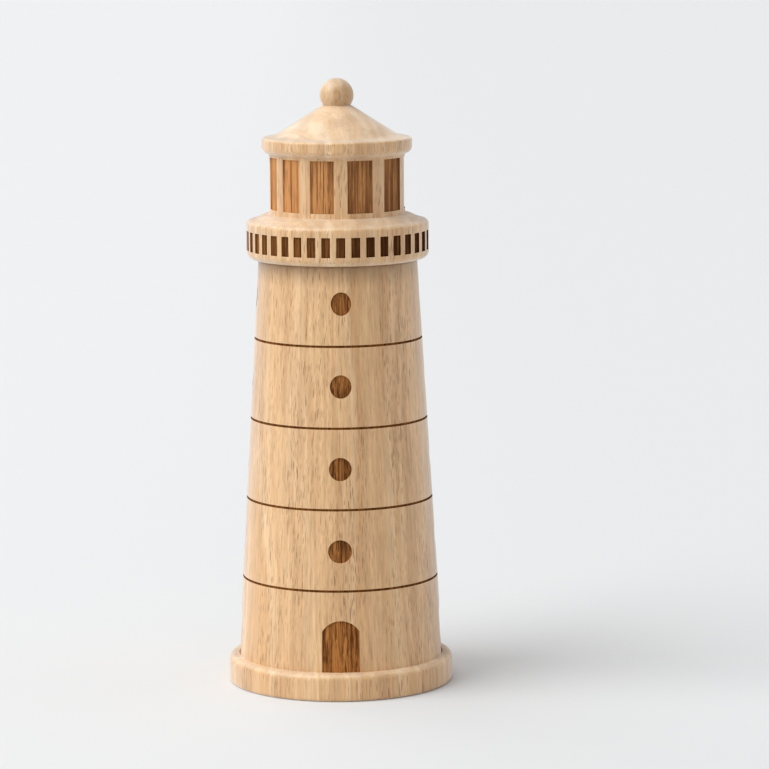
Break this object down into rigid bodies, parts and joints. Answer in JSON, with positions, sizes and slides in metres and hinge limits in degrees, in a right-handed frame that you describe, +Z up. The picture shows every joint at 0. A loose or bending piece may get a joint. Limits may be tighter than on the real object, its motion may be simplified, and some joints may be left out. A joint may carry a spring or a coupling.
{
  "type": "lighthouse pepper mill",
  "caption": "Turned wooden souvenir pepper mill shaped as a lighthouse, with burned windows, a lift-off head that turns the spindle, and a ceramic grinder set from below.",
  "frame": {"origin": "centre of the foot, on the table", "axes": "+Z up along the turned axis; the front door faces -Y"},
  "size_m": [0.068, 0.068, 0.1828],
  "materials": {
    "turned_wood": "fine-sanded and lightly oiled",
    "burr_ceramic": "matte",
    "grinder_plastic": "fine matte",
    "spindle_aluminium": "drawn",
    "small_steel": "plated",
    "bush_brass": "turned"
  },
  "bodies": {
    "mill_body": {"tower": "turned_wood", "grinder_housing": "grinder_plastic", "outer_burr": "burr_ceramic", "burr_retainer": "grinder_plastic", "housing_screws": "small_steel", "spindle_bush": "bush_brass"},
    "drive": {"spindle": "spindle_aluminium", "thrust_washer": "small_steel", "retaining_clip": "small_steel", "spring_seat": "small_steel", "burr_spring": "small_steel"},
    "burr": {"burr_carrier": "grinder_plastic", "inner_burr": "burr_ceramic"},
    "setting": {"setting_knob": "grinder_plastic", "knob_nut": "bush_brass", "click_plate": "small_steel"},
    "mill_head": {"head": "turned_wood", "finial": "turned_wood", "drive_insert": "grinder_plastic", "grip_ring": "small_steel", "insert_screws": "small_steel"}
  },
  "joints": [
    {"name": "spindle_turn", "type": "hinge", "parent": "mill_body", "child": "drive", "pos_m": [0, 0, 0.041], "axis": [0, 0, 1], "continuous": true},
    {"name": "head_lift", "type": "slide", "parent": "drive", "child": "mill_head", "axis": [0, 0, 1], "range_m": [0, 0.045]},
    {"name": "burr_rise", "type": "slide", "parent": "drive", "child": "burr", "axis": [0, 0, 1], "range_m": [-0.00105, 0], "deforming": ["burr_spring"]},
    {"name": "knob_turn", "type": "hinge", "parent": "burr", "child": "setting", "pos_m": [0, 0, 0.006], "axis": [0, 0, 1], "range_deg": [-540, 0]}
  ],
  "couplings": [
    {"joint": "knob_turn", "follows": "burr_rise", "rad_per_m": 8976}
  ]
}
